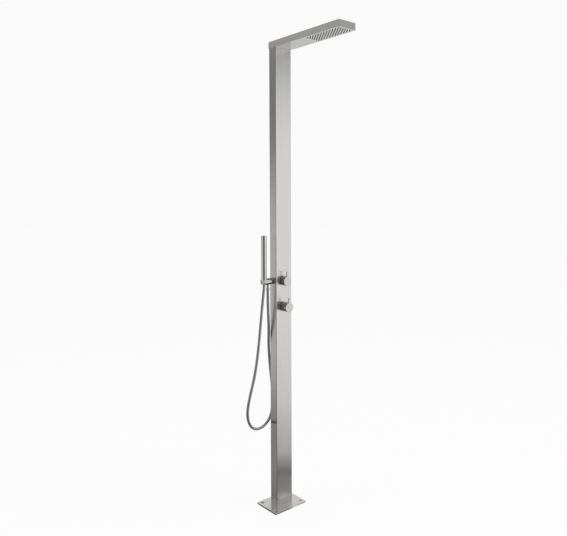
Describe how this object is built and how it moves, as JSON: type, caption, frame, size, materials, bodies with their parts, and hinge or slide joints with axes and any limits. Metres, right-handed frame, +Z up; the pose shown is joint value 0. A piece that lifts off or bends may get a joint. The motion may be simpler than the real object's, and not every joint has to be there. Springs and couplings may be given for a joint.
{
  "type": "outdoor shower post",
  "caption": "Floor-standing brushed steel shower post with a flat overhead spray head, mixer and diverter knobs, and a stick hand shower on a hose.",
  "frame": {"origin": "middle of the four anchor holes on the floor plate's underside", "axes": "+Z up along the post, -Y the side the overhead head reaches towards, -X the side the hand shower hangs on"},
  "size_m": [0.3077, 0.535, 2.338],
  "materials": {
    "brushed_stainless": "satin brushed stainless steel, grain along each sheet's length",
    "polished_stainless": "polished stainless steel",
    "stainless_fasteners": "plain stainless steel",
    "dark_silicone": "dark grey silicone",
    "inner_plastic": "plain light grey moulding",
    "supply_pipe": "plain drawn stainless tube",
    "brass_fittings": "plain machined brass",
    "sealing_rubber": "black sealing rubber",
    "hose_cover": "smooth silver-grey cover over a dark core",
    "ceramic_disc": "lapped off-white ceramic"
  },
  "bodies": {
    "root": {"base_plate": "brushed_stainless", "post_tube": "brushed_stainless", "service_cover": "brushed_stainless", "service_cover_screws": "stainless_fasteners", "head_shell": "brushed_stainless", "head_underside_plate": "polished_stainless", "head_screws": "stainless_fasteners", "head_rivet_nuts": "stainless_fasteners", "nozzle_mat": "dark_silicone", "spray_chamber": "inner_plastic", "head_feed_pipe": "supply_pipe", "head_elbow": "brass_fittings", "riser_pipe": "supply_pipe", "link_pipe": "supply_pipe", "hot_pipe": "supply_pipe", "cold_pipe": "supply_pipe", "pipe_nuts": "brass_fittings", "pipe_clips": "inner_plastic", "hot_inlet": "brass_fittings", "cold_inlet": "brass_fittings", "check_valves": "inner_plastic", "inlet_bracket": "brushed_stainless", "inlet_lock_nuts": "brass_fittings", "mixer_body": "brass_fittings", "diverter_body": "brass_fittings", "outlet_arm": "polished_stainless", "arm_nipple": "brass_fittings", "arm_lock_nut": "brass_fittings", "handset_holder": "polished_stainless", "hose": "hose_cover", "hose_outlet_nut": "polished_stainless", "hose_outlet_ferrule": "brass_fittings", "hose_outlet_washer": "sealing_rubber", "mixer_seal": "sealing_rubber", "mixer_lock_nut": "brass_fittings", "mixer_cartridge": "inner_plastic", "mixer_cartridge_nut": "brass_fittings", "mixer_fixed_disc": "ceramic_disc", "diverter_seal": "sealing_rubber", "diverter_lock_nut": "brass_fittings", "diverter_cartridge": "inner_plastic", "diverter_cartridge_nut": "brass_fittings", "diverter_fixed_disc": "ceramic_disc"},
    "mixer_handle": {"mixer_knob": "polished_stainless", "mixer_pin": "polished_stainless", "mixer_grub_screw": "stainless_fasteners", "mixer_stem": "brass_fittings", "mixer_moving_disc": "ceramic_disc"},
    "diverter_handle": {"diverter_knob": "polished_stainless", "diverter_pin": "polished_stainless", "diverter_grub_screw": "stainless_fasteners", "diverter_stem": "brass_fittings", "diverter_moving_disc": "ceramic_disc"},
    "hose_end": {"hose_handset_ferrule": "brass_fittings"},
    "handset": {"handset_body": "polished_stainless", "handset_spray_face": "dark_silicone", "hose_cone_nut": "polished_stainless", "handset_washer": "sealing_rubber"}
  },
  "joints": [
    {"name": "mixer_turn", "type": "hinge", "parent": "root", "child": "mixer_handle", "pos_m": [0, -0.025, 1.0245], "axis": [0, -1, 0], "range_deg": [0, 120]},
    {"name": "diverter_turn", "type": "hinge", "parent": "root", "child": "diverter_handle", "pos_m": [0, -0.025, 1.1545], "axis": [0, -1, 0], "range_deg": [-60, 60]},
    {"name": "handset_lift", "type": "slide", "parent": "root", "child": "hose_end", "axis": [0, 0, 1], "range_m": [0, 0.06]},
    {"name": "handset_twist", "type": "hinge", "parent": "hose_end", "child": "handset", "pos_m": [-0.1003, 0.01, 1.15], "axis": [0, 0, 1], "continuous": true}
  ]
}
